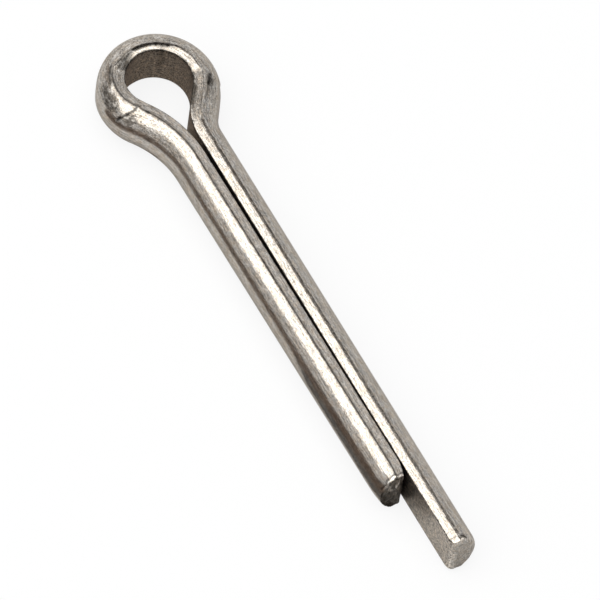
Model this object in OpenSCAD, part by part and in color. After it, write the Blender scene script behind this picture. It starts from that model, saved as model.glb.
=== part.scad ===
// Cotter pin, also called a split pin.
// One length of half-round wire is folded back on itself: the fold is opened into an
// eye, and the two legs lie flat face to flat face as a round shank. One leg is longer,
// so that a tool can catch its tip and spread the legs.
//
// The pin lies on its side. +X runs from the eye to the tips, +Z is the axis of the
// eye's hole, and the short leg is on the -Y side.

/* [Wire] */
// Diameter of the round back of each leg
back_d = 7.2; // [6.6:0.1:9]
// Thickness of one leg, from its flat inner face to its back
leg_t = 3.5; // [3:0.02:4]
// Width of the flat inner face, before its edges are rounded
flat_w = 6.4; // [4.6:0.1:7]
// Angle of the narrow flats beside the inner face, which lean in towards it
side_lean = 9; // [4:0.5:14]
// Radius on the two edges of the inner face
edge_r = 0.2; // [0.1:0.05:0.5]

/* [Eye] */
// Inside radius of the eye on the short leg's side
eye_r_short = 3.6; // [2.8:0.05:4.6]
// Inside radius of the eye on the long leg's side
eye_r_long = 4.05; // [2.8:0.05:5]
// Distance of the eye's middle from the split plane, towards the short leg
eye_offset = 0.44; // [0:0.02:1]
// Thickness of the wire at the crown of the eye, where the forming tool flattened it
crown_t = 2.9; // [2.4:0.05:2.95]

/* [Neck] */
// Radius of the short leg's inner face where it turns into the shank
bend_r_short = 14.85; // [8:0.05:18]
// Straight length between the eye and that bend on the short leg
neck_len_short = 0.34; // [0.1:0.02:3]
// Radius of the long leg's inner face where it turns into the shank
bend_r_long = 7; // [5:0.1:14]
// Straight length between the eye and that bend on the long leg
neck_len_long = 2.1; // [0.1:0.1:3]

/* [Legs] */
// Length from the middle of the eye to the end of the short leg
short_len = 58.5; // [40:0.5:90]
// How far the long leg reaches past the short one
long_extra = 9.9; // [2:0.1:20]
// Gap between the two legs at the end of the short one
tip_gap = 0.1; // [0.05:0.01:1]
// Angle at which each leg closes in towards the other
toe_in = 0.18; // [0.05:0.01:0.8]

/* [Sheared ends] */
// Length over which the short leg's end was rolled over by the shear
roll_len = 2.2; // [1:0.1:4]
// Depth of the roll on the short leg's inner face
roll_in = 0.5; // [0.1:0.05:0.9]
// Depth of the roll on the short leg's back
roll_back = 0.3; // [0.1:0.05:0.8]
// Length over which the long leg's end was rolled over by the shear
tip_roll_len = 1.1; // [0.5:0.1:3]
// Depth of the roll on the long leg's inner face
tip_roll_in = 0.35; // [0.1:0.05:0.6]
// Depth of the roll on the long leg's back
tip_roll_back = 0.35; // [0.1:0.05:0.6]

/* [Hidden] */
$fn = 96;
back_r = back_d / 2;
// Place of the back's centre, measured from the inner face
back_x = leg_t - back_r;
// The crease between a side flat and the round back
lean_rise = tan(side_lean);
crease_half = flat_w / 2 * lean_rise - back_x;
crease_rest = pow(flat_w / 2, 2) + pow(back_x, 2) - pow(back_r, 2);
crease_x = (sqrt(pow(crease_half, 2) - (1 + pow(lean_rise, 2)) * crease_rest) - crease_half)
         / (1 + pow(lean_rise, 2));
crease_w = flat_w / 2 + crease_x * lean_rise;
// Middle of the rounding on an edge of the inner face
edge_w = flat_w / 2 - edge_r * (1 - sin(side_lean)) / cos(side_lean);
// Inner face of a leg, measured from the split plane level with the eye's middle
leg_rise = tip_gap / 2 + short_len * tan(toe_in);
// A roll's curve is this much flatter than one that runs smoothly off the face
roll_flatness = 1.5;
// How far a cutter reaches past what it cuts
over = 1;
// Bent lengths run this far into the next length, and are finer by a hair, so that all
// of them join as one solid
lap = 0.12;
hair = 0.02;
// Middle of the box around the pin
crown_x = -eye_r_short - crown_t;
tip_x = eye_r_long - eye_r_short + (short_len + long_extra) * cos(toe_in)
      + (leg_from_eye(-eye_offset) + leg_t) * sin(toe_in);
back_y_short = -eye_offset - eye_r_short - leg_t;
back_y_long = -eye_offset + eye_r_long + leg_t;

// Distance from the eye's middle to a leg's inner face, square to that leg
function leg_from_eye(middle) = (leg_rise - middle) * cos(toe_in);

// Half-round section of the wire, drawn finer by a hair: inner face at x = 0, back at leg_t
module section(finer) {
    cut_x = edge_r * (1 - sin(side_lean));
    cut_w = edge_w + edge_r * cos(side_lean) - finer;
    far_w = flat_w / 2 + (leg_t + over) * lean_rise - finer;
    intersection() {
        translate([back_x, 0]) circle(r = back_r - finer);
        union() {
            polygon([
                [finer, finer - edge_w], [cut_x, -cut_w], [leg_t + over, -far_w],
                [leg_t + over, far_w], [cut_x, cut_w], [finer, edge_w - finer]
            ]);
            for (side = [-1, 1])
                translate([edge_r, side * edge_w]) circle(r = edge_r - finer - hair);
        }
    }
}

// Straight wire along +X, inner face at y = 0 and back towards +Y
module straight(length, finer = 0) {
    rotate([90, 0, 90]) linear_extrude(height = length) section(finer);
}

// Wire bent about the origin, from an angle of 0, with its inner face at the given radius
module bent(turn, r, inward, finer) {
    lap_turn = lap / r * 180 / PI;
    rotate(-lap_turn) rotate_extrude(angle = turn + 2 * lap_turn)
        translate([r, 0]) mirror([inward ? 1 : 0, 0]) section(finer);
}

// Rounded-over end of a straight leg: takes depth off the inner face at x = 0,
// fading out over the given length towards -X
module roll(length, depth) {
    chord = norm([length, depth]);
    r = roll_flatness * pow(chord, 2) / (2 * depth);
    reach = sqrt(pow(r, 2) - pow(chord / 2, 2));
    translate([0, 0, -back_r - over]) linear_extrude(height = back_d + 2 * over) difference() {
        translate([-length - over, -over]) square([length + 2 * over, depth + over]);
        translate([-length / 2 - reach * depth / chord, depth / 2 + reach * length / chord])
            circle(r = r, $fn = 360);
    }
}

// Half of the eye, flattened towards the crown, as a ring about its own middle
module eye_half(eye_r, turn, finer) {
    flat_r = eye_r + crown_t;
    shift = (pow(eye_r + leg_t, 2) - pow(flat_r, 2)) / (2 * flat_r);
    intersection() {
        rotate(180 + toe_in - turn) bent(turn, eye_r, false, finer);
        rotate(toe_in) translate([shift, 0, -back_r - over])
            cylinder(r = flat_r + shift, h = back_d + 2 * over, $fn = 180);
    }
}

// Half of the pin on the +Y side, from the crown of the eye to the end of one leg.
// The eye's middle is at y = middle, and x = 0 is level with the short side's middle.
module half_pin(eye_r, middle, bend_r, neck_len, leg_len, finer) {
    leg_y = leg_from_eye(middle);
    reach = sqrt(pow(eye_r + bend_r, 2) + pow(neck_len, 2) - pow(leg_y + bend_r, 2));
    neck_turn = atan2(reach, leg_y + bend_r) - atan2(neck_len, eye_r + bend_r);
    translate([eye_r - eye_r_short, middle]) rotate(-toe_in) {
        eye_half(eye_r, 90 + neck_turn + toe_in, finer);
        rotate(-neck_turn) translate([0, eye_r]) straight(neck_len);
        translate([reach, leg_y + bend_r]) rotate(-90 - neck_turn)
            bent(neck_turn, bend_r, true, hair);
        translate([reach, leg_y]) difference() {
            straight(leg_len - reach);
            translate([leg_len - reach, 0]) children(0);
            translate([leg_len - reach, leg_t]) mirror([0, 1]) children(1);
        }
    }
}

module cotter_pin() {
    color([0.62, 0.60, 0.57])
    translate([-(crown_x + tip_x) / 2, -(back_y_short + back_y_long) / 2, crease_w]) {
        mirror([0, 1]) half_pin(eye_r_short, eye_offset, bend_r_short, neck_len_short, short_len,
                                 hair) {
            roll(roll_len, roll_in);
            roll(roll_len, roll_back);
        }
        half_pin(eye_r_long, -eye_offset, bend_r_long, neck_len_long, short_len + long_extra,
                 2 * hair) {
            roll(tip_roll_len, tip_roll_in);
            roll(tip_roll_len, tip_roll_back);
        }
    }
}

cotter_pin();
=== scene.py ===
# %% [markdown]
# # A cotter pin in half-round wire
# A cotter pin is one length of half-round steel wire, folded back on itself. The fold is
# opened into an eye, and the two legs lie flat face to flat face as a round shank.
# The exact solid comes from CAD. Here it is modelled once more as one mesh, the way the
# real pin is made: a section is drawn, run round the eye and along each leg, and then
# marked by the forming tool and the shear. Everything is in metres.

# %% Load the frame
from math import atan2, cos, degrees, exp, hypot, log, pi, radians, sin, sqrt, tan

import bmesh
import bpy
from mathutils import Matrix, Vector, noise


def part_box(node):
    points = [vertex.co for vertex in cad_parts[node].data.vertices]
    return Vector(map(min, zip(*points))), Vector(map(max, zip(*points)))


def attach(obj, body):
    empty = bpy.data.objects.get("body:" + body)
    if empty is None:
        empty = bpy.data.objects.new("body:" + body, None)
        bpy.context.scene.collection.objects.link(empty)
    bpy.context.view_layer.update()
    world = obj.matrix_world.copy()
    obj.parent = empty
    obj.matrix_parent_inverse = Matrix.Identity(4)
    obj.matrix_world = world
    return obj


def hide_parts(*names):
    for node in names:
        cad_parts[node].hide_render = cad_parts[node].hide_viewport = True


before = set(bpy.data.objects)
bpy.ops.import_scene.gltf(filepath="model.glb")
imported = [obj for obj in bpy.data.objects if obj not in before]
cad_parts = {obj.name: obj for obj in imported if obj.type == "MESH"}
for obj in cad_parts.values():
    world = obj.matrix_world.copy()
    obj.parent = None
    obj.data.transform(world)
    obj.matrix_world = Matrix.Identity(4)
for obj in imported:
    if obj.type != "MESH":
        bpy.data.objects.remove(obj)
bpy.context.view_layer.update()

low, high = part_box("cotter_pin")
print("CAD pin from", tuple(round(c, 5) for c in low), "to", tuple(round(c, 5) for c in high))

# %% [markdown]
# ## The wire and the fold
# The wire's section is a circle cut by a flat inner face, with two narrow flats beside it
# that the drawing die leaves. The fold is two half eyes about two middles, each running
# through a short straight neck and one wide bend into its leg. All of it could be measured
# off the solid, but these are the values that the CAD source is drawn from, so the mesh
# lies where the solid is.

# %% Sizes of the wire
MM = 0.001
back_r = 3.6 * MM
leg_t = 3.5 * MM
flat_w = 6.4 * MM
side_lean = radians(9)
# the back lies this far inside the solid's, so that nothing stands proud of it
worn = 0.045 * MM
# half the width of the inner face, whose edges the die rounded down
edge_worn = 0.1 * MM
face_w = flat_w / 2 - edge_worn
print("wire", leg_t / MM, "mm thick, with an inner face", round(2 * face_w / MM, 2), "mm wide")

# %% Sizes of the eye and the legs
crown_t = 2.9 * MM
eye_r_short = 3.6 * MM
eye_r_long = 4.05 * MM
eye_offset = 0.44 * MM
short_len = 58.5 * MM
long_extra = 9.9 * MM
tip_gap = 0.1 * MM
toe_in = radians(0.18)
leg_rise = tip_gap / 2 + short_len * tan(toe_in)
mid_z = (low[2] + high[2]) / 2
eye_x = low[0] + crown_t + eye_r_short
split_y = eye_offset - (eye_r_long - eye_r_short) / 2
print("the eye's middle is", round(eye_x / MM, 2), "mm along the pin, and the legs part at",
      round(split_y / MM, 2), "mm across it")


# %% One half of the fold
class Half:
    """One half of the fold, with its own eye, neck, bend and leg. side is 1 on +Y, -1 on -Y."""

    def __init__(self, name, side, eye_r, bend_r, neck_len, leg_len):
        self.name, self.side, self.eye_r, self.bend_r = name, side, eye_r, bend_r
        self.neck_len = neck_len
        self.middle = -side * eye_offset
        self.leg_y = (leg_rise - self.middle) * cos(toe_in)
        self.reach = sqrt((eye_r + bend_r) ** 2 + neck_len ** 2 - (self.leg_y + bend_r) ** 2)
        self.turn = atan2(self.reach, self.leg_y + bend_r) - atan2(neck_len, eye_r + bend_r)
        self.eye_turn = pi / 2 + self.turn + toe_in
        # lengths along the middle of the wire, counted from the crown of the eye
        self.eye_len = (eye_r + leg_t / 2) * self.eye_turn
        self.bend_len = (bend_r - leg_t / 2) * self.turn
        self.leg_from = self.eye_len + neck_len + self.bend_len
        self.leg_run = leg_len - self.reach
        self.length = self.leg_from + self.leg_run

    def place(self, u, v):
        """A point of the half's own plane in the frame: u along the leg, v away from the split."""
        x = eye_x + self.eye_r - eye_r_short + u * cos(toe_in) + v * sin(toe_in)
        y = split_y + self.side * (self.middle - u * sin(toe_in) + v * cos(toe_in))
        return Vector((x, y, mid_z))

    def plane(self, x, y):
        """The other way round: a point of the frame in the half's own plane."""
        a = x - eye_x - self.eye_r + eye_r_short
        b = self.side * (y - split_y) - self.middle
        return a * cos(toe_in) - b * sin(toe_in), a * sin(toe_in) + b * cos(toe_in)

    def heading(self, turn):
        """The direction of the wire where it still has this angle to turn."""
        return (self.place(cos(turn), -sin(turn)) - self.place(0, 0)).normalized()


print("level with the eye, a leg's inner face is", round(leg_rise / MM, 3), "mm from the split")

# %% The short and the long half
short = Half("short", -1, eye_r_short, 14.85 * MM, 0.34 * MM, short_len)
long = Half("long", 1, eye_r_long, 7.0 * MM, 2.1 * MM, short_len + long_extra)
for half in (short, long):
    print(half.name, "half: turns", round(degrees(half.eye_turn), 1), "degrees round the eye,",
          round(half.length / MM, 1), "mm of wire from the crown to its end")

# %% [markdown]
# ## The section
# On the real pin the section comes from the die that the wire was drawn through. It could
# be typed in as points, but it is easier to trust when it is made as the die makes it: a
# disc is cut by three planes, for the inner face and the two side flats, and the corners
# that the cuts leave are rounded. It stands at the crown of the eye, where both halves
# begin.

# %% Draw the disc at the crown of the eye
crown = short.place(-eye_r_short, 0)
bpy.ops.object.select_all(action="DESELECT")
bpy.ops.mesh.primitive_circle_add(
    vertices=144, radius=back_r - worn, fill_type="NGON", rotation=(pi / 2, 0, 0),
    location=crown - Vector((leg_t - back_r, 0, 0)))
pin = bpy.context.object
pin.name = "cotter_pin_wire"
bpy.ops.object.transform_apply(location=True, rotation=True, scale=True)
print("disc of", len(pin.data.vertices), "corners at the crown")


# %% Cut it by the inner face and the two side flats
def mesh_now():
    """The mesh that is being edited."""
    return bmesh.from_edit_mesh(bpy.context.object.data)


bpy.ops.object.mode_set(mode="EDIT")
cuts = [(crown, (1, 0, 0))]
cuts += [(crown + Vector((0, 0, side * face_w)), (tan(side_lean), 0, side)) for side in (1, -1)]
for corner, outward in cuts:
    bpy.ops.mesh.select_all(action="SELECT")
    bpy.ops.mesh.bisect(plane_co=corner, plane_no=outward, clear_outer=True, threshold=1e-7)
print("the cut disc has", len(mesh_now().verts), "corners")


# %% Measure where a side flat meets the round back
def past_crease(depth):
    """Whether the leaning flat is outside the round back at this depth."""
    return hypot(face_w + depth * tan(side_lean), depth - leg_t + back_r) > back_r - worn


crease_x = next(d * MM / 500 for d in range(2000) if past_crease(d * MM / 500))
crease_w = face_w + crease_x * tan(side_lean)
print("the creases are", round(crease_x / MM, 2), "mm from the inner face and",
      round(2 * crease_w / MM, 2), "mm apart")


# %% Round the corners that the cuts left
def pick(test, kind="VERT"):
    """Selects just the vertices or edges that pass a test."""
    bpy.ops.mesh.select_mode(type=kind)
    bpy.ops.mesh.select_all(action="DESELECT")
    shape = mesh_now()
    for item in {"VERT": shape.verts, "EDGE": shape.edges}[kind]:
        if test(item):
            item.select_set(True)
    shape.select_flush_mode()
    bmesh.update_edit_mesh(bpy.context.object.data)


def from_corner(vertex, depth, width):
    """How far a vertex of the section is from a corner at this depth and half width."""
    return hypot(crown.x - vertex.co.x - depth, abs(vertex.co.z - mid_z) - width)


at_corner, crease_room = 0.02 * MM, 0.32 * MM
# the disc's own corners beside each crease go first, so that the rounding has room
pick(lambda v: at_corner < from_corner(v, crease_x, crease_w) < crease_room)
bpy.ops.mesh.dissolve_verts()
# depth and half width of each corner, then the size and the steps of its rounding
for depth, width, offset, segments in (
        (0, face_w, 0.17 * MM, 4), (crease_x, crease_w, 0.26 * MM, 7)):
    pick(lambda v: from_corner(v, depth, width) < at_corner)
    bpy.ops.mesh.bevel(offset=offset, offset_type="OFFSET", segments=segments,
                       affect="VERTICES")
print("the rounded section has", len(mesh_now().verts), "corners")

# %% Divide the inner face, and keep only the outline
pick(lambda e: e.calc_length() > 0.5 * MM, "EDGE")
bpy.ops.mesh.subdivide(number_cuts=7)
bpy.ops.mesh.select_mode(type="EDGE")
bpy.ops.mesh.select_all(action="SELECT")
bpy.ops.mesh.delete(type="ONLY_FACE")
print("outline of", len(mesh_now().verts), "corners")


# %% [markdown]
# ## The fold
# The wire could be a curve with this section as its bevel, but a curve is hard to mark
# where the tool touched it. Spinning and extruding the outline keeps one clean ring of
# vertices at each step, so every mark can be put at a known length along the wire. The
# rings are close together, because a bright metal shows every facet in its reflections.

# %% Carry the outline round and straight on
def spin(centre, angle, step):
    """Turns the selected ring about an upright axis, with rings about a step apart."""
    bpy.ops.mesh.spin(steps=max(2, round(abs(angle) / step)), angle=angle, center=centre,
                      axis=(0, 0, 1), use_auto_merge=False)


def run(direction, length, step):
    """Extrudes the selected ring straight on."""
    count = max(1, round(length / step))
    for _ in range(count):
        bpy.ops.mesh.extrude_edges_indiv()
        bpy.ops.transform.translate(value=direction * (length / count))


# metres between rings along the wire, and the part of the eye that bears no fine mark
ring_gap = {"neck": 0.12 * MM, "bend": 0.3 * MM, "leg": 0.45 * MM, "end": 0.12 * MM}
plain_eye = 9.5 * MM
print("rings from", ring_gap["end"] / MM, "to", ring_gap["leg"] / MM, "mm apart along the legs")


# %% [markdown]
# ## The ends of the wire
# A shear presses the rim of the end over before it cuts, so the end is no flat lid. One
# face with many corners would close it, but couldn't be torn later. So the rim is rounded
# in a few rings, and more rings shrink from it to one point in the middle.

# %% Close an end with rings
rim_steps, end_rings = 6, 14


def shrink(shares):
    """Scales the selected ring about its own middle, across the wire only."""
    ring = [v.co for v in mesh_now().verts if v.select]
    middle = [(min(c[i] for c in ring) + max(c[i] for c in ring)) / 2 for i in range(3)]
    bpy.ops.transform.resize(value=(1, *shares), center_override=middle)


def close_end(half, rounding):
    """Rounds the rim of the end, then closes the end with rings that shrink to its middle."""
    quarter = [step / rim_steps * pi / 2 for step in range(rim_steps + 1)]
    for before, after in zip(quarter, quarter[1:]):
        forward = rounding * (sin(after) - sin(before))
        inset = [rounding * (1 - cos(angle)) for angle in (before, after)]
        run(half.heading(0), forward, forward)
        shrink([(size / 2 - inset[1]) / (size / 2 - inset[0]) for size in (leg_t, 2 * crease_w)])
    for ring in range(end_rings - 1, 0, -1):
        bpy.ops.mesh.extrude_edges_indiv()
        shrink((ring / (ring + 1), ring / (ring + 1)))
    bpy.ops.mesh.merge(type="CENTER")


print("each rim is rounded in", rim_steps, "steps")


# %% Run the outline round the eye, down the neck and into the leg
def at_crown(edge):
    """Whether an edge belongs to the first ring, at the crown."""
    return all(abs(v.co.y - crown.y) < 1e-6 and v.co.x < eye_x for v in edge.verts)


roll_len = {"short": 2.2 * MM, "long": 1.1 * MM}
end_rounding = {"short": 0.16 * MM, "long": 0.5 * MM}
end_run = max(roll_len.values())
for half in (short, long):
    pick(at_crown, "EDGE")
    plain_turn = plain_eye / (half.eye_r + leg_t / 2)
    spin(half.place(0, 0), half.side * plain_turn, radians(2))
    spin(half.place(0, 0), half.side * (half.eye_turn - plain_turn), radians(0.9))
    run(half.heading(half.turn), half.neck_len, ring_gap["neck"])
    spin(half.place(half.reach, half.leg_y + half.bend_r), -half.side * half.turn,
         ring_gap["bend"] / half.bend_r)
    run(half.heading(0), half.leg_run - end_run, ring_gap["leg"])
    run(half.heading(0), end_run - end_rounding[half.name], ring_gap["end"])
    close_end(half, end_rounding[half.name])
    print(half.name, "half closed; the mesh has", len(mesh_now().verts), "vertices")

# %% Merge the doubles and turn the faces outward
bpy.ops.mesh.select_all(action="SELECT")
bpy.ops.mesh.remove_doubles(threshold=1e-6)
bpy.ops.mesh.normals_make_consistent(inside=False)
bpy.ops.object.mode_set(mode="OBJECT")
print("the closed wire has", len(pin.data.polygons), "faces")


# %% [markdown]
# ## Lengths along the wire
# Marks and drawn lines follow the wire round its bends. A pattern on the object's own axes
# would cut straight across them. So every vertex keeps where it would be if the wire were
# pulled straight: how far along it is, how deep below the inner face, and how high above
# the middle. The numbers are millimetres, and the short half's lengths are negative.

# %% Pull the wire straight in an attribute
def straightened(point):
    """(half, (length along the wire, depth from the inner face, height)) of a point."""
    x, y, z = point
    # in the eye the halves part level with its middle, and beyond it at the split
    half = long if y > split_y - (eye_offset if x < eye_x + 1 * MM else 0) else short
    u, v = half.plane(x, y)
    round_eye = (pi + toe_in - atan2(v, u)) % (2 * pi)
    along_neck = u * cos(half.turn) - v * sin(half.turn)
    if round_eye < half.eye_turn:
        along, depth = (half.eye_r + leg_t / 2) * round_eye, hypot(u, v) - half.eye_r
    elif along_neck < half.neck_len:
        along = half.eye_len + along_neck
        depth = u * sin(half.turn) + v * cos(half.turn) - half.eye_r
    elif u < half.reach:
        a, b = half.reach - u, half.leg_y + half.bend_r - v
        along = half.leg_from - (half.bend_r - leg_t / 2) * atan2(a, b)
        depth = half.bend_r - hypot(a, b)
    else:
        along, depth = half.leg_from + u - half.reach, v - half.leg_y
    return half, Vector((half.side * along / MM, depth / MM, (z - mid_z) / MM))


wire = pin.data.attributes.new("wire", "FLOAT_VECTOR", "POINT")
straight = [straightened(v.co) for v in pin.data.vertices]
wire.data.foreach_set("vector", [c for _, spot in straight for c in spot])
print("the wire runs from", round(min(s[1].x for s in straight), 1), "to",
      round(max(s[1].x for s in straight), 1), "mm")


# %% [markdown]
# ## The flattened crown
# The tool that opened the eye pressed its crown thinner. A boolean with a cylinder would
# do it, but would leave slivers, so each vertex is pushed in to the same circle instead.

# %% Flatten the crown of the eye
def soft_limit(value, limit, blend):
    """value, held smoothly below limit."""
    return limit - blend * log(1 + exp((limit - value) / blend))


crown_blend = 0.06 * MM
pressed_in = 0
for vertex, (half, spot) in zip(pin.data.vertices, straight):
    if abs(spot.x) * MM < half.eye_len:
        flat_r = half.eye_r + crown_t
        shift = ((half.eye_r + leg_t) ** 2 - flat_r ** 2) / (2 * flat_r)
        middle = half.place(0, 0) + Vector((shift, 0, 0))
        away = Vector((vertex.co.x - middle.x, vertex.co.y - middle.y, 0))
        wanted = soft_limit(away.length, flat_r + shift, crown_blend)
        if away.length > wanted:
            vertex.co += away * (wanted / away.length - 1)
            pressed_in += 1
print(pressed_in, "vertices pressed in at the crown")


# %% [markdown]
# ## The rolled ends
# The shear drags the metal over before it parts, which leaves each end rounded off on both
# faces. A bevel would round all edges alike, so the ends are moved in code, by the same
# curves that cut the solid: a long, shallow roll on the inner face and another on the back.

# %% Roll the sheared ends over
roll_flatness = 1.5
roll_in = {"short": 0.5 * MM, "long": 0.35 * MM}
roll_back = {"short": 0.3 * MM, "long": 0.35 * MM}


def rolled(ahead, length, depth):
    """Depth that the roll has taken off at a distance before the end."""
    if ahead > length:
        return 0.0
    chord = hypot(length, depth)
    r = roll_flatness * chord ** 2 / (2 * depth)
    reach = sqrt(r ** 2 - chord ** 2 / 4)
    x = -ahead + length / 2 + reach * depth / chord
    return depth / 2 + reach * length / chord - sqrt(r ** 2 - x ** 2)


for vertex, (half, spot) in zip(pin.data.vertices, straight):
    ahead = max(0.0, half.length - abs(spot.x) * MM)
    if ahead < roll_len[half.name]:
        inner = rolled(ahead, roll_len[half.name], roll_in[half.name])
        outer = leg_t - rolled(ahead, roll_len[half.name], roll_back[half.name])
        depth = spot.y * MM
        moved = inner + depth / leg_t * (outer - inner) - depth
        vertex.co += (half.place(0, 1) - half.place(0, 0)) * moved
print("ends rolled over", roll_len["short"] / MM, "and", roll_len["long"] / MM, "mm")


# %% [markdown]
# ## Places round the section
# A mark on the wire lies at a length along it and a distance round it. An angle could say
# how far round, but it would crowd the places on the flats. So the distance is measured on
# the surface, in millimetres: 0 at the edge of the inner face, negative on that face, and
# growing over the side flat, the crease and the back.

# %% Find the way round the section
crease_run = crease_x / MM / cos(side_lean)
crease_angle = atan2(crease_w, crease_x - leg_t + back_r)
face_depth = 0.03 * MM


def girth(spot):
    """Distance round the section, in millimetres, from the edge of the inner face."""
    depth, height = spot.y * MM, abs(spot.z) * MM
    if depth < face_depth:
        return (height - face_w) / MM
    if depth < crease_x:
        return depth / MM / cos(side_lean)
    return crease_run + back_r / MM * (crease_angle - atan2(height, depth - leg_t + back_r))


print("the side flat is", round(crease_run, 2), "mm wide")


# %% Soft steps, bands and lines
def smooth(value, start, end):
    """0 before start, 1 after end, and a smooth rise between them."""
    share = min(1, max(0, (value - start) / (end - start)))
    return share * share * (3 - 2 * share)


def fading(value, start, end):
    """1 before start, 0 after end."""
    return 1 - smooth(value, start, end)


def between(value, begin, full, fade, end):
    """1 from full to fade, and 0 before begin and after end."""
    return smooth(value, begin, full) * fading(value, fade, end)


def line(value, middle, width):
    """1 on a line, falling off on both sides of it."""
    return exp(-((value - middle) / width) ** 2)


print("a line's edge, one width from its middle, keeps", round(line(1, 0, 1), 2), "of it")

# %% [markdown]
# ## The flats and their creases
# The die left the two side flats sharp against the round back. Bending round the tool
# rubbed a narrow land onto that crease, and at the crown the tool pressed a wider flat,
# which leans the other way. They could be three more cuts, but each fades into the next
# along the wire. So the section's half width is worked out anew at every vertex, as the
# least of four surfaces, and the vertex is moved out or in to it.

# %% How the outline changes along the wire
# Along the wire: half width at the inner face, lean of the side flat in degrees, half width
# of the narrow land that is rubbed onto the crease, and of the back where the tool pressed it
forming = (
    (-80, 3.1, 9, 3.272, 3.4), (-12.3, 3.1, 9, 3.272, 3.4), (-11.7, 3.18, 9, 3.34, 3.4),
    (-10, 3.1, 9, 3.31, 3.4), (-7.8, 3.02, 9, 3.27, 3.4), (-5.3, 2.9, 10, 3.2, 3.4),
    (-2.8, 2.9, 11, 3.4, 3.12), (-0.6, 3.19, 9, 3.27, 3.26), (4, 3.19, 9, 3.27, 3.26),
    (5.5, 3.17, 9, 3.31, 3.33), (9, 3.15, 9, 3.3, 3.33), (10.6, 3.1, 9, 3.4, 3.4),
    (15.5, 3.05, 9, 3.3, 3.4), (17, 3.05, 9, 3.21, 3.4), (90, 3.05, 9, 3.21, 3.4),
)


def formed(x):
    """Half width, lean, land and pressed back at a length along the wire."""
    before, after = next((a, b) for a, b in zip(forming, forming[1:]) if x < b[0])
    share = smooth(x, before[0], after[0])
    edge, lean, land, pressed = [p + (q - p) * share for p, q in zip(before[1:], after[1:])]
    # the land's edge is ragged on the long half, where it tore instead of rubbing smooth
    teeth = noise.noise(Vector((x * 2.2, 7, 0))) + noise.noise(Vector((x * 6.1, 3, 0)))
    return edge, lean, land + 0.014 * teeth * smooth(x, -3, 0), pressed


print("the land is", round(formed(-30)[2], 3), "mm from the middle on the short leg and",
      round(formed(30)[2], 3), "mm on the long one")

# %% Move each vertex to the new outline
press_lean, softness = 0.335, 0.012
# a half width that the section never reaches, for an outline without a land
no_land = 9


def half_widths(depth, edge, lean, land, pressed):
    """Half width, in millimetres, to each surface that may bound the section at a depth."""
    centre = (leg_t - back_r) / MM
    round_back = sqrt(max(0.01, ((back_r - worn) / MM) ** 2 - (depth - centre) ** 2))
    return edge + tan(radians(lean)) * depth, land, pressed - press_lean * (depth - 1), round_back


crease = []
for vertex, (half, spot) in zip(pin.data.vertices, straight):
    depth, height = max(0.0, spot.y), abs(spot.z)
    widths = half_widths(depth, *formed(spot.x))
    weights = [exp((min(widths) - w) / softness) for w in widths]
    drawn = min(half_widths(depth, face_w / MM, degrees(side_lean), no_land, no_land))
    change = min(widths) - softness * log(sum(weights)) - drawn
    # beyond the rounded corner, the outline goes exactly to its new width
    change += (drawn - height) * between(depth, 0.2, 0.3, 2.2, 2.6) \
        * smooth(height / drawn, 0.96, 0.98)
    on_face = spot.z / (face_w / MM)
    beyond_face = (1 if spot.z > 0 else -1) * smooth(height, 0, 1)
    vertex.co.z += change * MM * (on_face if depth == 0 else beyond_face)
    # painted shade darkens the land of the short half and the crown, and the short leg's sharp
    # crease, but hardly the long half
    held = 0.78 if spot.x < 4.5 else 0.06
    sharp = line(widths[0], widths[3], 0.1) * fading(spot.x, -6.5, -4.5)
    rubbed = weights[1] / sum(weights) * (1 - 0.9 * line(spot.x, -4, 1.6))
    crease.append(held * max(rubbed, sharp) * smooth(height / drawn, 0.9, 0.99))
print("vertices that hold dirt in a crease:", sum(c > 0.3 for c in crease))

# %% [markdown]
# ## The tool crease, the notch and the nick
# The tool that shaped the neck pressed a crease across the short half and bit a notch into
# the long half, and the shear nicked the long leg near its tip. These could be sculpted by
# hand. They are moved in code, so that each is a scratch from one place to another and is
# the same each time. They only go inward, as pressing does.

# %% The scratches, one by one
long_tip = long.length / MM
# half, start and end as (length, girth), the width at both, depth, and how much painted shade it
# holds
scratches = (
    (short, (-11.5, 1.25), (-10.36, 3.9), (0.17, 0.15), 0.085, 0.95),
    (short, (-11.9, 1.7), (-11.1, 3.6), (0.28, 0.2), 0.03, 0.35),
    (long, (10.75, 2.12), (12.1, 1.95), (0.22, 0.3), 0.13, 0.95),
    (long, (10.75, 2.3), (11.9, 2.0), (0.2, 0.24), 0.1, 1.25),
    (long, (12.1, 1.95), (14.3, 1.68), (0.28, 0.12), 0.05, 0.6),
    (long, (11.05, 2.4), (11.0, 4.2), (0.1, 0.1), 0.03, 0.2),
    (long, (77.35, 0.1), (77.35, 0.9), (0.12, 0.1), 0.03, 0.6),
    (long, (long_tip - 0.75, 1.4), (long_tip - 0.45, 1.95), (0.16, 0.24), 0.08, 1.1),
)


def valley(spot, start, end, wide, deep):
    """How deep a scratch is at this spot, with a course and a depth that waver a little."""
    s = girth(spot)
    here = Vector((spot.x + 0.22 * noise.noise(Vector((s * 1.3, start[0], 0))), s))
    course = Vector(end) - Vector(start)
    share = min(1, max(0, (here - Vector(start)).dot(course) / course.length_squared))
    width = wide[0] + (wide[1] - wide[0]) * share
    uneven = 0.95 + 0.5 * noise.noise(Vector((s * 2.1, start[0], 4)))
    return deep * uneven * exp(-((here - Vector(start) - course * share).length / width) ** 2)


print(len(scratches), "scratches, the deepest", max(mark[4] for mark in scratches), "mm")


# %% Press them in
def behind_notch(half, spot):
    """Depth to which the tool pressed the back behind the notch."""
    if half is short:
        return 0
    return 0.11 * between(spot.x, 10.95, 11.15, 11.6, 15.5) * smooth(girth(spot), 1.7, 2.5)


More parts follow.
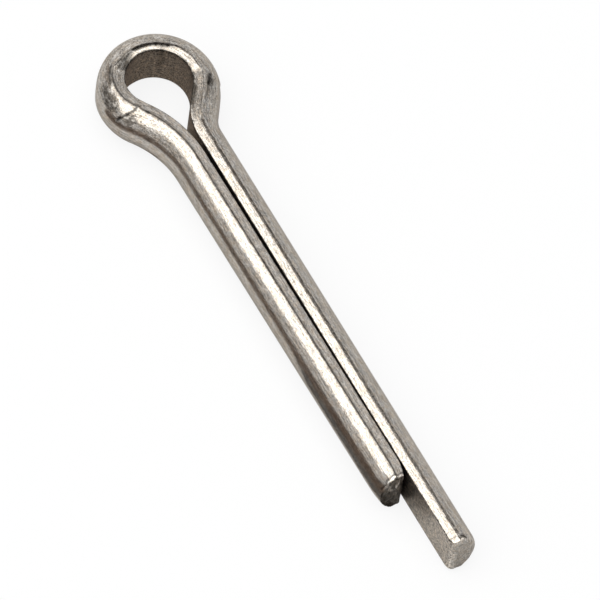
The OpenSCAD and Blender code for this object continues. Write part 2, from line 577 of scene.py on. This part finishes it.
normals = [v.normal.copy() for v in pin.data.vertices]
# the darkness of each scratch is painted shade, darkest where it is deepest
painted_shade = []
for vertex, normal, (half, spot) in zip(pin.data.vertices, normals, straight):
    marks = [(valley(spot, *mark), mark[-1], held) for owner, *mark, held in scratches
             if owner is half and spot.z > 0]
    painted_shade.append(max((deep / full * held for deep, full, held in marks), default=0.0))
    vertex.co -= normal * (sum(mark[0] for mark in marks) + behind_notch(half, spot)) * MM
print("vertices inside a scratch:", sum(d > 0.1 for d in painted_shade))


# %% [markdown]
# ## Torn end faces
# A shear cuts part of the way and tears the rest, so the end faces are rough. A bump in the
# material wouldn't break their outline, so the vertices are moved by seeded noise, mostly
# inward, and more on the short leg.

# %% Tear the sheared faces a little
class Place:
    """Where a vertex is on the straightened wire, in millimetres."""

    def __init__(self, half, spot):
        self.half, self.x, self.depth, self.height = half, *spot
        self.s = girth(spot)
        self.ahead = half.length / MM - abs(spot.x)
        self.upper = spot.z > 0


places = [Place(half, spot) for half, spot in straight]
tear_reach = 0.45
tear_depth = {"short": 0.09, "long": 0.05}
for vertex, place in zip(pin.data.vertices, places):
    if place.ahead < tear_reach:
        near = fading(place.ahead, 0.1, tear_reach)
        seed = Vector((3, place.depth, place.height)) * 1.7
        rough = 0.5 + noise.noise(seed) + 0.5 * noise.noise(seed * 2.6)
        vertex.co.x -= tear_depth[place.half.name] * near * rough * MM
print("end faces torn over", sum(p.ahead < tear_reach for p in places), "vertices")

# %% [markdown]
# ## Bruises, and cut metal with painted shade
# Where the tool slid on the wire it left matt, mottled patches, and the sheared faces are
# bare and rough. The sheared faces are also darkened with painted shade, for the floor's
# shade that they mirror, most on the short leg. Separate materials would need hard borders
# between them. Two attributes that say how bruised and how cut the metal is let one
# material blend them.

# %% Note where the metal is bruised and cut
# half, middle and reach of the patch as (length, girth), and how strong it is
patches = (
    (short, (-8.3, 2.68), (1.8, 1.02), 1.0), (short, (-11.6, 2.9), (0.7, 0.9), 0.9),
    (short, (-3.7, 0.7), (1.3, 0.9), 0.5), (long, (11.6, 2.3), (0.8, 0.7), 0.8),
    (long, (13, 2.8), (1.6, 1.0), 0.4), (long, (13.2, 0.1), (3.0, 0.45), 1.0),
    (short, (-16, 3.1), (4.5, 0.8), 0.25),
    (long, (4, 2.2), (7, 1.4), 0.24), (short, (-2, 2.2), (4, 1.1), 0.24),
    (long, (10, 1.5), (14, 3.0), 0.13), (short, (-9, 1.5), (9, 2.2), 0.13),
)
# how much each end counts as cut: rougher, and darker with painted shade
cut_and_shade_share = {"short": 1.0, "long": 0.28}


def from_middle(place, middle, reach):
    """How far a place is from the middle of an oval, as a share of its reach."""
    return hypot((place.x - middle[0]) / reach[0], (place.s - middle[1]) / reach[1])


bruise = pin.data.attributes.new("bruise", "FLOAT", "POINT")
cut = pin.data.attributes.new("cut", "FLOAT", "POINT")
for index, place in enumerate(places):
    cut.data[index].value = cut_and_shade_share[place.half.name] * fading(place.ahead, 0.02, 0.3)
    amounts = [strength * fading(from_middle(place, middle, reach), 0.6, 1.15)
               for owner, middle, reach, strength in patches if owner is place.half]
    bruise.data[index].value = max(amounts) if place.upper else 0.0
print("bruised vertices:", sum(b.value > 0.1 for b in bruise.data))


# %% [markdown]
# ## Painted shade, painted highlights and darker patches
# Painted shade darkens the scratches, the creases, some edges and the gap between the legs,
# and a few darker patches and paler places lie on the surface. The burr is bright as fresh
# metal and with a painted highlight, and painted highlights make a few lines and the back
# of the crown paler. They could be painted in an image, but painting can't be repeated or
# corrected by a number. So each is a small rule that gives a share by place on the wire,
# above 1 where it is paler and below 1 where it is darker, and the product of all of them
# is kept in one attribute. Most rules hold on the upper side only.

# %% Start with the painted shade in the scratches
most_shade = 0.95
tones = [1 - min(most_shade, amount) for amount in painted_shade]


def tint(title, rule):
    """Multiplies the tone of each vertex by the share that a rule gives for its place."""
    touched = 0
    for index, place in enumerate(places):
        share = rule(place)
        tones[index] *= share
        touched += abs(share - 1) > 0.02
    print(title, "tints", touched, "vertices")


print("the darkest scratch keeps", round(min(tones), 2), "of its tone")


# %% The burr on the short leg's end
def burr(p):
    """A bright, wandering rim round the end face, with a dark line beside it: fresh metal with a
    painted highlight, and painted shade in the line.
    """
    if p.half is long or p.ahead >= 2 or not -0.3 < p.s < 4.2 or not p.upper:
        return 1
    rim = 0.14 + 0.4 * noise.noise(Vector((p.depth * 1.6, p.height * 1.6, 5)))
    # painted highlight on the rim, and painted shade in the line beside it
    return 1 + 2.6 * line(p.ahead, rim, 0.12) - 0.75 * line(p.ahead, rim + 0.34, 0.13)


tint("burr", burr)


# %% The edge of the long leg's bare end
short_tip = short.length / MM


def bare_edge_shade(p):
    """A painted dark reflection: a dark line along the inner face's edge, where the short leg no
    longer covers it.
    """
    if p.half is short or p.x <= short_tip or not p.upper:
        return 1
    return 1 - 0.55 * line(p.s, -0.02, 0.09)


tint("bare edge", bare_edge_shade)


# %% Darker patches and painted crease shade on the short half, from the eye to the tool crease
def mottled(p):
    """The patch that the tool left darker."""
    if p.half is long or not p.upper:
        return 1
    return 1 - 0.25 * fading(from_middle(p, (-8.1, 2.8), (2.1, 1.3)), 0.6, 1.0)


def flat_patches_and_crease_shade(p):
    """Darker patches on the side flat, and a dark line of painted shade on the crease beside them.
    """
    if p.half is long or p.s <= -0.1 or not p.upper:
        return 1
    broad = 1 - 0.63 * between(p.x, -5, -4.3, -1.9, -0.7) * fading(p.s, 0.9, 1.4)
    narrow = 1 - 0.35 * between(p.x, -5, -4, -2.6, -1.9) * fading(p.s, 0.25, 0.7)
    grey = 1 - 0.15 * between(p.x, -9.5, -9, -5.2, -4.6) * fading(p.s, 1.5, 1.8)
    # painted shade along the crease
    on_crease = 1 - 0.85 * line(p.s, 1.86, 0.15) * between(p.x, -7.5, -6.6, -4.5, -3.8)
    return broad * narrow * grey * on_crease


tint("mottled patch", mottled)
tint("darker flat", flat_patches_and_crease_shade)


# %% Painted dark lines and a painted pale back at the crown
def crown_shade_lines(p):
    """Dark lines of painted shade along the crease and the rim of the pressed flat, one of them
    grainy, and a dark patch across it.
    """
    if not -5 < p.x < 10 or not p.upper:
        return 1
    grains = 0.8 + 0.7 * noise.noise(Vector((p.x * 2.7, p.s * 4, 11)))
    course = 0.73 + 0.22 * smooth(p.x, 3.5, 5) + 0.15 * smooth(p.x, 5, 7)
    grainy = 1 - 0.6 * grains * line(p.s, course, 0.18) * smooth(p.x, -3.2, -2.4) \
        * (1 - 0.7 * smooth(p.x, 5, 8))
    start = 1 - 0.45 * line(p.s, 0.72, 0.24) * between(p.x, -3.4, -2.8, -1.2, -0.6)
    patch = 1 - 0.4 * line(p.x, 3.5, 0.5) * fading(p.s, 0.35, 0.6)
    rim = 1 - 0.6 * line(p.s, -0.1, 0.13) * smooth(p.x, -5, -3)
    return grainy * start * patch * rim


def crown_back_highlight(p):
    """The back of the crown, made paler with a painted highlight."""
    if not p.upper:
        return 1
    return 1 + 0.2 * smooth(p.s, 1.05, 1.3) * between(p.x, -5, -2, 8, 10)


tint("crown lines", crown_shade_lines)
tint("crown back", crown_back_highlight)


# %% The rim of the short leg and the neck of the long one
def short_rim_shade(p):
    """A painted dark reflection: a dark line along the edge of the inner face."""
    return 1 - 0.7 * line(p.s, -0.1, 0.12) if -25 < p.x < -5 and p.upper else 1


def neck_patches_and_rim_shade(p):
    """Darker patches on both sides of the notch, and a painted dark reflection along the edge of
    the inner face.
    """
    if p.half is short or not p.upper:
        return 1
    # painted dark reflection along the edge of the inner face
    rim = 0.6 * fading(p.s, 0.08, 0.3) * between(p.x, 5, 8, 11, 12) if p.s > -0.1 else 0
    before = 0.35 * between(p.x, 9.6, 10.3, 10.8, 11.6) * fading(p.s, 0.8, 1.1)
    behind = 0.3 * between(p.x, 10.9, 11.2, 11.9, 12.9) * between(p.s, 1.6, 2.0, 2.9, 3.6)
    return (1 - rim) * (1 - before) * (1 - behind)


tint("short rim", short_rim_shade)
tint("neck patches and rim shade", neck_patches_and_rim_shade)


# %% The inner faces and the end faces
def long_end(p):
    """The long leg's bare inner face and its end, made paler."""
    if p.half is short:
        return 1
    bare = 1 + 0.14 * smooth(p.x, 69.5, 71.5) if p.s < 0 else 1
    return bare * (1 + 0.2 * fading(p.ahead, 0.3, 0.6))


def gap_shade(p):
    """Painted shade on the inner faces, between the legs."""
    return 0.6 if 20 < abs(p.x) < short_tip and p.s < 0 else 1


def end_blotches(p):
    """Seeded blotches on the two end faces, stronger on the short leg."""
    if p.ahead >= 0.35:
        return 1
    seed, strength = (9, 0.25) if p.half is long else (2, 0.4)
    blotch = noise.noise(Vector((p.depth * 1.9, p.height * 1.9, seed)))
    return 1 - strength * smooth(blotch, -0.05, 0.2) * fading(p.ahead, 0.1, 0.35)


tint("long end", long_end)
tint("gap shade", gap_shade)
tint("end blotches", end_blotches)


# %% The start of the long leg's bright flat
def flat_start_highlight_and_shade(p):
    """A painted highlight beside the crease, and a dark edge of painted shade below it."""
    if p.half is short or not p.upper:
        return 1
    band = between(p.x, 11, 12, 15, 16)
    return 1 + band * (0.2 * line(p.s, 0.75, 0.14) - 0.4 * fading(p.s, 0.3, 0.7))


tint("bright start", flat_start_highlight_and_shade)

# %% Keep the painted crease shade and the tones on the mesh
creased = pin.data.attributes.new("crease", "FLOAT", "POINT")
creased.data.foreach_set("value", crease)
tone = pin.data.attributes.new("tone", "FLOAT", "POINT")
tone.data.foreach_set("value", tones)
print("tones from", round(min(tones), 2), "to", round(max(tones), 2))


# %% [markdown]
# ## Nodes
# A material is a chain of small nodes. Wiring them one call at a time hides the recipe, so
# a few short helpers add a node, carry a value from one range to another, and add or
# multiply two values. With them each finish below reads like a sum.

# %% Nodes, added and joined by name
class Finish:
    """The nodes of one material, or of the room, added and joined by name."""

    def __init__(self, tree):
        self.nodes, self.links = tree.nodes, tree.links

    def add(self, kind, **values):
        """Adds a node and sets its sockets and properties by name."""
        node = self.nodes.new(kind)
        for key, value in values.items():
            name = key.replace("_", " ")
            socket = next((s for s in node.inputs if s.name == name and s.enabled), None)
            if socket is not None:
                socket.default_value = value
            else:
                setattr(node, key, value)
        return node

    def ramp(self, value, low_in, high_in, low_out, high_out):
        """A value, carried from one range to another and held inside it."""
        node = self.nodes.new("ShaderNodeMapRange")
        for name, level in (("From Min", low_in), ("From Max", high_in),
                            ("To Min", low_out), ("To Max", high_out)):
            node.inputs[name].default_value = level
        self.links.new(value, node.inputs["Value"])
        return node.outputs["Result"]

    def maths(self, kind, a, b):
        """A sum of two values, each a number or another node's output."""
        node = self.nodes.new("ShaderNodeMath")
        node.operation = kind
        for socket, value in zip(node.inputs, (a, b)):
            if isinstance(value, (int, float)):
                socket.default_value = value
            else:
                self.links.new(value, socket)
        return node.outputs[0]

    def plus(self, a, b):
        return self.maths("ADD", a, b)

    def times(self, a, b):
        return self.maths("MULTIPLY", a, b)

    def larger(self, a, b):
        return self.maths("MAXIMUM", a, b)


print("nodes are added, ramped, added up, multiplied and compared by name")


# %% A new material
def new_material(name):
    """A new material, and the nodes of its finish."""
    material = bpy.data.materials.new(name)
    material.use_nodes = True
    return material, Finish(material.node_tree)


drawn_steel, steel = new_material("drawn_steel")
shader = steel.nodes["Principled BSDF"]
shader.inputs["Metallic"].default_value = 1.0
shader.inputs["Specular Tint"].default_value = (0.66, 0.63, 0.6, 1)
print("new material", drawn_steel.name)

# %% [markdown]
# ## Satin steel
# Drawn stainless wire is a fairly smooth metal with fine lines along it. Its colour comes
# from what it reflects, so the material is a metallic Principled shader whose roughness,
# colour and bump vary. An image could hold the lines, but would blur close up. The patterns
# are noise on the straightened wire, so that the lines turn with the bends.

# %% What the mesh tells the material
wire_spot = steel.add("ShaderNodeAttribute", attribute_name="wire").outputs["Vector"]
noted = ("bruise", "cut", "tone", "crease")
bruised, sheared_and_shaded, toned, shaded = [
    steel.add("ShaderNodeAttribute", attribute_name=name).outputs["Fac"] for name in noted]
wire_axes = steel.add("ShaderNodeSeparateXYZ")
steel.links.new(wire_spot, wire_axes.inputs["Vector"])
# 1 on the inner face, which the die never polished, and 0 on all else
inner = steel.ramp(wire_axes.outputs["Y"], 0.02, 0.22, 1.0, 0.0)
print("the steel reads the straightened wire,", ", ".join(noted))


# %% Its patterns
def pattern(stretch, scale, detail, rough=0.6):
    """Noise on the straightened wire, drawn out along it where the first share is small."""
    mapping = steel.add("ShaderNodeMapping", Scale=stretch)
    texture = steel.add("ShaderNodeTexNoise", Scale=scale, Detail=detail, Roughness=rough)
    steel.links.new(wire_spot, mapping.inputs["Vector"])
    steel.links.new(mapping.outputs["Vector"], texture.inputs["Vector"])
    return texture.outputs["Fac"]


ticks = pattern((1, 0.3, 0.3), 2.6, 2.0)
lines = pattern((0.07, 1, 1), 3.2, 2.0)
fine = pattern((0.1, 1, 1), 8.0, 2.0)
specks = pattern((0.8, 1, 1), 6.0, 2.0, 0.75)
grain = pattern((0.6, 1, 1), 5.5, 3.0, 0.8)
mottle = pattern((0.6, 1, 1), 2.2, 3.0, 0.6)
pepper = pattern((0.9, 1, 1), 4.5, 1.0)
print("patterns: ticks, lines, fine lines, specks, grain, mottle and pepper")

# %% Its shade: specks, drawn lines and the matt inner face
shade = steel.plus(steel.ramp(specks, 0.3, 0.7, 0.6, 1.35), steel.ramp(fine, 0.35, 0.65, -0.3, 0.3))
speckled = steel.times(steel.ramp(bruised, 0, 0.2, 0, 1), steel.ramp(specks, 0.35, 0.65, -0.2, 0.2))
shade = steel.plus(shade, speckled)
shade = steel.times(shade, steel.ramp(inner, 0, 1, 1.0, 0.88))
shade = steel.plus(shade, steel.times(inner, steel.ramp(grain, 0.4, 0.6, -0.6, 0.6)))
print("the inner face keeps 0.88 of its shade")

# %% Its shade: cut metal with painted shade, the tones, painted crease shade and pepper
# the cut faces are rough metal, darkened further with painted shade
shade = steel.times(shade, steel.ramp(sheared_and_shaded, 0, 1, 1.0, 0.42))
shade = steel.times(shade, toned)
# painted shade: a dark, jagged line along the creases
crease_shade = steel.times(shaded, steel.ramp(ticks, 0.42, 0.58, 0.75, 1.1))
shade = steel.times(shade, steel.ramp(crease_shade, 0, 1, 1.0, 0.05))
shade = steel.times(shade, steel.ramp(pepper, 0.64, 0.74, 1, 0.6))
torn = steel.times(sheared_and_shaded, steel.ramp(grain, 0.42, 0.56, 0.0, 0.6))
shade = steel.times(shade, steel.ramp(torn, 0, 1, 1.0, 0.2))
shade = steel.plus(shade, steel.times(inner, steel.ramp(mottle, 0.35, 0.65, -0.3, 0.3)))
print("the cut faces keep 0.42 of their shade, and dirty creases 0.05")


# %% [markdown]
# ## Pits
# Three small pits lie beside the tool crease. They are too small for the mesh's rings, and
# a finer mesh for three dots would be wasteful. Each is a dark dot in the material, by the
# distance from one point of the straightened wire.

# %% Pits beside the tool crease
def on_section(s):
    """(depth, height) of the point this far round the section, in millimetres."""
    angle = crease_angle - (s - crease_run) * MM / back_r
    return (back_r * cos(angle) + leg_t - back_r) / MM, back_r * sin(angle) / MM


# each as (length, girth)
pits = [(along, *on_section(s)) for along, s in ((-12.4, 1.96), (-12.67, 2.57), (-13.3, 2.75))]
for pit in pits:
    away = steel.add("ShaderNodeVectorMath", operation="DISTANCE")
    steel.links.new(wire_spot, away.inputs[0])
    away.inputs[1].default_value = pit
    shade = steel.times(shade, steel.ramp(away.outputs["Value"], 0.05, 0.16, 0.25, 1.0))
print("pits at", [tuple(round(c, 2) for c in pit) for pit in pits])

# %% [markdown]
# ## The metal's colour
# Steel is nearly grey, and warmer where old oil has dried on it. The shade so far is one
# number, and it scales a colour that a coarse noise mixes from a clean and a warm grey.

# %% Its colour
blots = steel.ramp(mottle, 0.4, 0.52, 0.0, 1.0)
shade = steel.times(shade, steel.ramp(steel.times(bruised, blots), 0, 1, 1.0, 0.3))
greys = steel.add("ShaderNodeMix", data_type="RGBA")
clean, oiled = [s for s in greys.inputs if s.type == "RGBA"]
clean.default_value = (0.43, 0.405, 0.375, 1)
oiled.default_value = (0.43, 0.375, 0.315, 1)
steel.links.new(steel.ramp(mottle, 0.4, 0.65, 0, 1), greys.inputs["Factor"])
colour = steel.add("ShaderNodeVectorMath", operation="SCALE")
steel.links.new([s for s in greys.outputs if s.type == "RGBA"][0], colour.inputs[0])
steel.links.new(shade, colour.inputs["Scale"])
steel.links.new(colour.outputs["Vector"], shader.inputs["Base Color"])
print("the steel mixes two greys in", len(steel.nodes), "nodes")

# %% [markdown]
# ## Its roughness and its lines
# The polished back mirrors softly, and the inner face, the bruises and the cut ends are
# more matt. The lines of the die are too fine to model, so they are bump, with a height of
# a few thousandths of a millimetre. Where metal was rubbed or torn, the grain is deeper.

# %% Its roughness
matt = steel.plus(steel.ramp(grain, 0.3, 0.7, 0.13, 0.24), steel.ramp(bruised, 0, 1, 0, 0.12))
matt = steel.plus(matt, steel.ramp(inner, 0, 1, 0, 0.15))
matt = steel.plus(matt, steel.ramp(sheared_and_shaded, 0, 1, 0, 0.2))
steel.links.new(matt, shader.inputs["Roughness"])
print("roughness from 0.13 on the polished back")

# %% The lines of the die
bump_height = 0.0045 * MM
relief = steel.plus(lines, steel.times(fine, 1.1))
deeper = steel.ramp(steel.larger(bruised, sheared_and_shaded), 0, 1, 1.0, 5.0)
relief = steel.plus(relief, steel.times(grain, deeper))
relief = steel.plus(relief, steel.times(steel.times(shaded, ticks), 3.0))
bump = steel.add("ShaderNodeBump", Strength=1.0, Distance=bump_height)
steel.links.new(relief, bump.inputs["Height"])
steel.links.new(bump.outputs["Normal"], shader.inputs["Normal"])
print("bump of", round(bump_height / MM, 4), "mm")

# %% [markdown]
# ## The finished wire
# The mesh takes the place of the plain CAD node in the picture, and moves with the same
# body. Its creases are real edges, so only faces that meet at a small angle are smoothed.

# %% Put the steel on the pin
pin.data.materials.clear()
pin.data.materials.append(drawn_steel)
bpy.ops.object.select_all(action="DESELECT")
pin.select_set(True)
bpy.context.view_layer.objects.active = pin
bpy.ops.object.shade_smooth_by_angle(angle=radians(50))
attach(pin, "root")
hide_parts("cotter_pin")
print("steel finish on", pin.name)

# %% [markdown]
# ## The floor and the room
# The pin lies on pale paper. More light would turn it white, but would bleach the pin too.
# So its material glows for the camera alone, and keeps enough of its own shading to hold
# the pin's shadow. The room is pale too, and the metal mirrors it.

# %% The floor
bpy.ops.object.select_all(action="DESELECT")
bpy.ops.mesh.primitive_plane_add(size=4.0)
floor = bpy.context.object
floor.name = "floor"
pale_paper, paper = new_material("pale_paper")
sheet_shader = paper.nodes["Principled BSDF"]
sheet_shader.inputs["Base Color"].default_value = (0.69, 0.7, 0.715, 1)
sheet_shader.inputs["Roughness"].default_value = 0.9
sheet_shader.inputs["Specular IOR Level"].default_value = 0.0
white = paper.add("ShaderNodeEmission", Color=(1, 1, 1, 1), Strength=1.0)
camera_ray = paper.add("ShaderNodeLightPath").outputs["Is Camera Ray"]
seen_white = paper.add("ShaderNodeMixShader")
paper.links.new(paper.times(camera_ray, 0.85), seen_white.inputs["Fac"])
paper.links.new(sheet_shader.outputs["BSDF"], seen_white.inputs[1])
paper.links.new(white.outputs["Emission"], seen_white.inputs[2])
paper.links.new(seen_white.outputs["Shader"], paper.nodes["Material Output"].inputs["Surface"])
floor.data.materials.append(pale_paper)
print("floor of pale paper")

# %% The room
world = bpy.data.worlds.new("room")
bpy.context.scene.world = world
world.use_nodes = True
room = Finish(world.node_tree)
rays = room.add("ShaderNodeLightPath").outputs
mirrored = room.larger(rays["Is Glossy Ray"], rays["Is Transmission Ray"])
seen = room.larger(rays["Is Camera Ray"], mirrored)
background = room.nodes["Background"].inputs
room.links.new(room.ramp(seen, 0, 1, 0.5, 1.0), background["Strength"])
background["Color"].default_value = (1, 1, 1, 1)
print("the room lights the pin at 0.5 and is seen at 1")


# %% [markdown]
# ## The soft light
# Long bright bands run down the legs, so the light must be one long soft box, tilted to
# the short leg's side. A row of lamps would leave a row of spots. Its edges decide where
# the bands end, so it is set by the angles at which they are seen across the pin.

# %% The soft light
def facing(turn):
    """Direction across the pin, turned from straight up towards the long leg's side."""
    return Vector((0, sin(turn), cos(turn)))


box_from, box_to, box_away = radians(-63), radians(27), 2.0
box_tilt = (box_from + box_to) / 2
lamp_strength = 2.15
lamp = bpy.data.lights.new("softbox", "AREA")
lamp.shape = "RECTANGLE"
lamp.size = 2.9
lamp.size_y = 2 * box_away * tan((box_to - box_from) / 2)
lamp.color = (1.0, 0.99, 0.955)
lamp.energy = lamp_strength * pi * lamp.size * lamp.size_y
softbox = bpy.data.objects.new("softbox", lamp)
bpy.context.scene.collection.objects.link(softbox)
softbox.location = facing(box_tilt) * box_away + Vector((-0.35, 0, 0))
softbox.rotation_euler = (-box_tilt, 0, 0)
softbox.visible_camera = False
print("softbox", round(lamp.size, 2), "by", round(lamp.size_y, 2), "m")


# %% [markdown]
# ## Cards for the metal to mirror
# Bright metal has no tone of its own: its greys and its dark lines are mostly whatever stands
# round it. They could be faked in its colour, but would then stay put as the pin turns; the
# dark lines on its creases, edges and scratches, and a few pale bands, are painted in all the
# same, as painted shade and painted highlights. As in a studio, cards are hung, stood and
# laid round the pin. They show in reflections only, and give no light and no shadow. The
# dark ones laid beside the pin, in the eye and at the short leg's end are painted shade.

# %% A card
def card(name, corners, level):
    """A card that only reflections show, at this brightness."""
    bpy.ops.object.select_all(action="DESELECT")
    bpy.ops.mesh.primitive_plane_add(size=2.0)
    sheet = bpy.context.object
    sheet.name = name
    for vertex, corner in zip(sheet.data.vertices, corners):
        vertex.co = corner
    material, finish = new_material(name)
    glow = finish.add("ShaderNodeEmission", Color=(*level, 1), Strength=1.0)
    finish.links.new(glow.outputs["Emission"], finish.nodes["Material Output"].inputs["Surface"])
    sheet.data.materials.append(material)
    sheet.visible_camera = sheet.visible_diffuse = sheet.visible_shadow = False
    print("card", name)


# %% Cards that hang above the pin
def hung(name, away, corners, level):
    """A card above the pin. Each corner is (slope along the pin, turn about it in degrees)."""
    hooks = []
    for slope, turn in corners:
        reach = away / cos(radians(turn) - box_tilt)
        hooks.append(facing(radians(turn)) * reach + Vector((slope * reach, 0, 0)))
    card(name, hooks, level)


hung("dark_bar", 1.8, ((-0.27, 8.5), (-1.1, 6), (-0.27, 28.5), (-1.1, 28.5)), (0.05, 0.04, 0.035))
hung("grey_card", 1.9, ((-0.52, -4), (-1.3, -30), (-0.52, 7), (-1.3, 7)), (0.85, 0.83, 0.8))
hung("end_wall", 1.7, ((-0.8, -105), (-3.5, -105), (-0.8, -45), (-3.5, -45)), (0.45, 0.41, 0.37))


# %% Walls beside the pin
def standing(name, y, length, height, level):
    """A wall that stands along the pin."""
    card(name, [Vector((x, y, z)) for z in (0, height) for x in (-length, length)], level)


standing("right_wall", 1.5, 4, 1.25, (0.78, 0.79, 0.8))
standing("left_wall", -1.5, 4, 0.74, (0.8, 0.79, 0.78))


# %% Cards on the floor
def laid(name, corners, level):
    """A card just above the floor, with its corners in millimetres."""
    card(name, [Vector((x * MM, y * MM, 0.1 * MM)) for x, y in corners], level)


def box_laid(name, x_from, x_to, y_from, y_to, level):
    """A card on the floor with square corners."""
    laid(name, [(x, y) for y in (y_from, y_to) for x in (x_from, x_to)], level)


eye_mm = eye_x / MM
laid("dark_card", ((-50, -60), (8, -60), (-34, -13.5), (8, -9.3)), (0.225, 0.185, 0.16))
# painted shade: these dark cards lie where the floor is in the pin's shade, beside it, in the eye
# and at the short leg's end
laid("side_shade_card", ((8, -60), (60, -60), (8, -9.3), (45, -4)), (0.19, 0.15, 0.125))
laid("near_shade_card", ((3, -9.5), (32, -9.5), (9, -4.6), (29, -3.9)), (0.23, 0.23, 0.23))
box_laid("eye_shade_card", eye_mm - 5, eye_mm + 7, -4.5, 4.5, (0.27, 0.235, 0.205))
box_laid("end_shade_card", 26.9, 28.9, -8, -1, (0.16, 0.145, 0.13))
box_laid("end_shade_card_2", 28.9, 30.4, -8, -1, (0.38, 0.36, 0.34))

# %% [markdown]
# ## The camera
# The camera looks down on the pin from the short leg's side, from beyond its tips. It could
# stand close with a short lens, but the legs hardly narrow with distance, so it stands far
# off with a long lens. A small roll lays the pin across the frame's diagonal.

# %% The camera
camera = bpy.data.objects.new("camera", bpy.data.cameras.new("camera"))
bpy.context.scene.collection.objects.link(camera)
bpy.context.scene.camera = camera
elevation, azimuth, tilt = radians(59.816), radians(53.353), radians(8.75)
# in millimetres: the point that the camera looks at, and how far from it the camera stands
aim, camera_away = Vector((0.588, 1.320, 3.38)), 1234.29
back = Vector((sin(azimuth) * cos(elevation), -cos(azimuth) * cos(elevation), sin(elevation)))
look = back.to_track_quat("Z", "Y").to_matrix() @ Matrix.Rotation(tilt, 3, "Z")
camera.rotation_euler = look.to_euler()
camera.location = aim * MM + back * camera_away * MM
camera.data.lens = 649.88
camera.data.clip_end = 20
bpy.context.scene.view_settings.view_transform = "Standard"
print("camera", round(camera_away), "mm from the pin")
